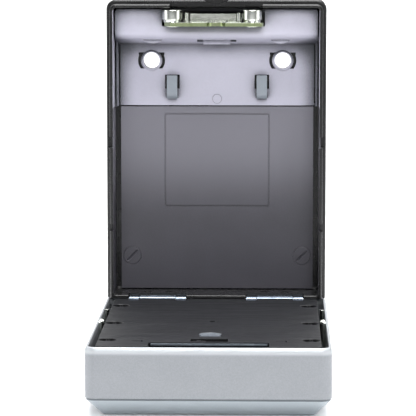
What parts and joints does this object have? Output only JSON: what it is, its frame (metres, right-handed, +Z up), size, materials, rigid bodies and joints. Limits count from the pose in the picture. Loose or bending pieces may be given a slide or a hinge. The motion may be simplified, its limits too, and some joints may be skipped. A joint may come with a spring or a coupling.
{
  "type": "key lock box",
  "caption": "Wall-mounted key lock box with a cast housing, hooks inside, and a bottom-hinged door holding a dial combination lock under a sliding shutter.",
  "frame": {"origin": "centre of the rear mounting face, half way up the housing", "axes": "+Y into the wall, -Y to the front, +Z up, +X to the right as seen from the front"},
  "size_m": [0.105, 0.1657, 0.172],
  "materials": {
    "black_cast": "black textured powder coat",
    "light_plastic": "light grey moulded plastic, fine texture",
    "hook_plastic": "light grey moulded plastic",
    "dark_plastic": "dark grey moulded plastic, satin",
    "cover_plastic": "dark grey moulded plastic, satin",
    "zinc_steel": "yellowish zinc plating",
    "bright_steel": "bright plated steel",
    "hinge_steel": "blue zinc plated steel",
    "chassis_steel": "dark phosphated steel, bright where it is rubbed",
    "screw_steel": "plated steel",
    "black_screw": "black plated steel",
    "spring_steel": "spring steel",
    "silver_paint": "satin silver paint with fine flake",
    "black_plastic": "black moulded plastic",
    "shutter_plastic": "black moulded plastic, fine texture",
    "dial_plastic": "black plastic with white numbers",
    "brass": "machined brass"
  },
  "bodies": {
    "housing": {"rear_housing": "black_cast", "upper_liner": "light_plastic", "lower_liner": "dark_plastic", "key_hooks": "hook_plastic", "knockout_plugs": "dark_plastic", "striker_plate": "zinc_steel", "striker_posts": "bright_steel", "striker_screws": "screw_steel", "hinge_leaves": "hinge_steel", "leaf_screws": "screw_steel", "hinge_pins": "screw_steel"},
    "door": {"door_shell": "silver_paint", "inner_cover": "cover_plastic", "cover_screws": "black_screw", "hinge_brackets": "hinge_steel", "bracket_screws": "screw_steel", "side_lugs": "bright_steel", "dial_fascia": "black_plastic", "lock_chassis": "chassis_steel", "chassis_screws": "screw_steel", "dial_axle": "screw_steel", "detent_comb": "spring_steel", "fence_bar": "brass", "fence_spring": "spring_steel", "latch_springs": "spring_steel"},
    "latch": {"latch_slide": "zinc_steel", "release_knob": "black_plastic", "knob_screw": "screw_steel"},
    "shutter": {"shutter_cover": "shutter_plastic"},
    "code_slider": {"code_change_slider": "cover_plastic"},
    "dial_1": {"number_ring_1": "dial_plastic", "code_sleeve_1": "brass"},
    "dial_2": {"number_ring_2": "dial_plastic", "code_sleeve_2": "brass"},
    "dial_3": {"number_ring_3": "dial_plastic", "code_sleeve_3": "brass"},
    "dial_4": {"number_ring_4": "dial_plastic", "code_sleeve_4": "brass"}
  },
  "joints": [
    {"name": "door_hinge", "type": "hinge", "parent": "housing", "child": "door", "pos_m": [0, -0.0226, -0.0701], "axis": [-1, 0, 0], "range_deg": [0, 90]},
    {"name": "dial_1_turn", "type": "hinge", "parent": "door", "child": "dial_1", "pos_m": [-0.01575, -0.1147, -0.0845], "axis": [1, 0, 0], "continuous": true},
    {"name": "dial_2_turn", "type": "hinge", "parent": "door", "child": "dial_2", "pos_m": [-0.00525, -0.1147, -0.0845], "axis": [1, 0, 0], "continuous": true},
    {"name": "dial_3_turn", "type": "hinge", "parent": "door", "child": "dial_3", "pos_m": [0.00525, -0.1147, -0.0845], "axis": [1, 0, 0], "continuous": true},
    {"name": "dial_4_turn", "type": "hinge", "parent": "door", "child": "dial_4", "pos_m": [0.01575, -0.1147, -0.0845], "axis": [1, 0, 0], "continuous": true},
    {"name": "release_slide", "type": "slide", "parent": "door", "child": "latch", "axis": [0, 1, 0], "range_m": [0, 0.005], "stiffness_N_per_m": 300, "springref_m": -0.008, "deforming": ["latch_springs"]},
    {"name": "shutter_slide", "type": "slide", "parent": "door", "child": "shutter", "axis": [0, 1, 0], "range_m": [0, 0.052]},
    {"name": "code_change_slide", "type": "slide", "parent": "door", "child": "code_slider", "axis": [1, 0, 0], "range_m": [0, 0.009]}
  ]
}
